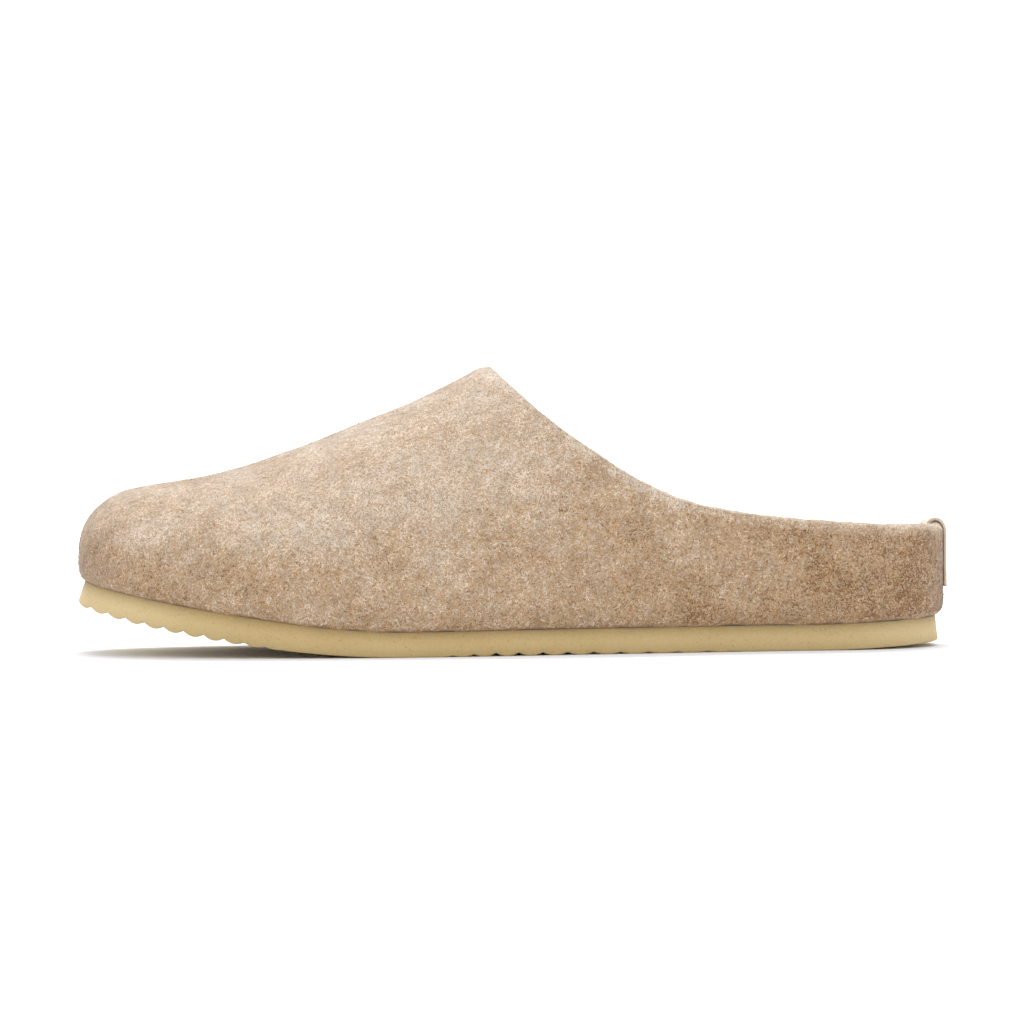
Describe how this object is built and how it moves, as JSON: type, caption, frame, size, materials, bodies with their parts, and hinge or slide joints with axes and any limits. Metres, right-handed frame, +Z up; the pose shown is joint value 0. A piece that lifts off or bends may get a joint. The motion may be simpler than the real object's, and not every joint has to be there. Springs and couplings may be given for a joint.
{
  "type": "wool felt slipper",
  "caption": "Low-backed house slipper: hollow beige wool felt upper with a low heel rim, foam sole with a scalloped edge and toe spring, shaped insole and a folded heel tab.",
  "frame": {"origin": "centre of the shoe's bounding box, on the floor that it stands on", "axes": "+X from toe to heel, -Y to the outer side of the left foot, +Z up"},
  "size_m": [0.2832, 0.1032, 0.0923],
  "materials": {
    "sole_foam": "matte pale sand foam with fine pores",
    "wool_felt": "mottled beige felted wool with short loose fibres",
    "insole_felt": "smooth pressed pale felt",
    "tab_leather": "pale undyed leather, satin"
  },
  "bodies": {
    "root": {"outsole": "sole_foam", "upper": "wool_felt", "insole": "insole_felt", "heel_tab": "tab_leather"}
  },
  "joints": []
}
